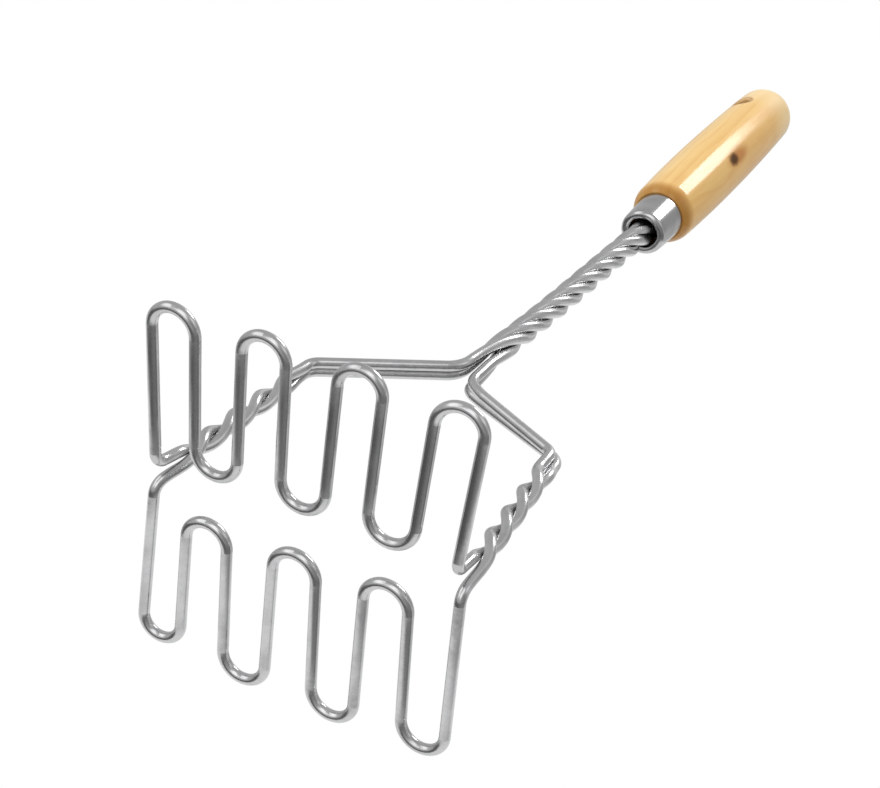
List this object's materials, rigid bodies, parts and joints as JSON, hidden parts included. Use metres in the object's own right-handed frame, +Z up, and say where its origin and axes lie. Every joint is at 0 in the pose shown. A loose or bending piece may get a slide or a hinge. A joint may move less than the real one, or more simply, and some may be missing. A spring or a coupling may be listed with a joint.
{
  "type": "potato masher",
  "caption": "Bent-wire potato masher: a flat zigzag grid of chromed wire, twisted sides and shank, a metal ferrule and a turned wooden handle with a hanging hole.",
  "frame": {"origin": "under the middle of the mashing grid, on the surface it stands on", "axes": "+Z up the handle, +X across the row of legs, -Y towards the front wire's legs"},
  "size_m": [0.0982, 0.1095, 0.331],
  "materials": {
    "wire": "bright chrome plate",
    "ferrule": "bright chrome plate",
    "handle": "clear gloss varnish"
  },
  "bodies": {
    "root": {"front_wire": "wire", "rear_wire": "wire", "ferrule": "ferrule", "handle": "handle"}
  },
  "joints": []
}
